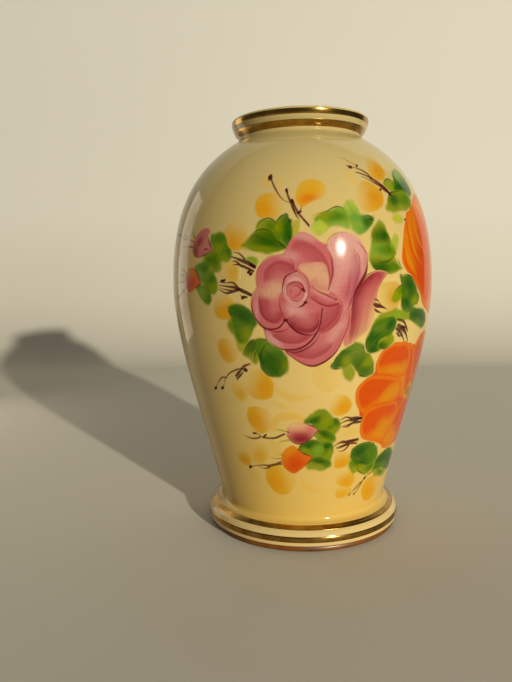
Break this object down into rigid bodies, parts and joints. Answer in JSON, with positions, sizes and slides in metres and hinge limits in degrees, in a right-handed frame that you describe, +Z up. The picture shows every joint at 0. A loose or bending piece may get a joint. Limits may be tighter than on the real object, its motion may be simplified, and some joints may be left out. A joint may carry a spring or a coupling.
{
  "type": "porcelain vase",
  "caption": "Tall shouldered vase with a bowl-shaped rim collar, a tapering body on a rounded moulded foot, and gilded lines at lip, neck and foot.",
  "frame": {"origin": "centre of the resting face under the foot, at the bottom of the bounding box", "axes": "+Z up along the vase's axis of revolution; the painted front faces -Y"},
  "size_m": [0.18, 0.18, 0.28],
  "materials": {
    "body_glaze": "gloss",
    "collar_glaze": "gloss",
    "foot_glaze": "gloss",
    "bare_rim": "satin",
    "gold": "polished"
  },
  "bodies": {
    "root": {"body": "body_glaze", "collar": "collar_glaze", "foot": "foot_glaze", "foot_rim": "bare_rim", "lip_gold_band": "gold", "neck_gold_band": "gold", "foot_joint_gold_band": "gold", "foot_edge_gold_band": "gold"}
  },
  "joints": []
}
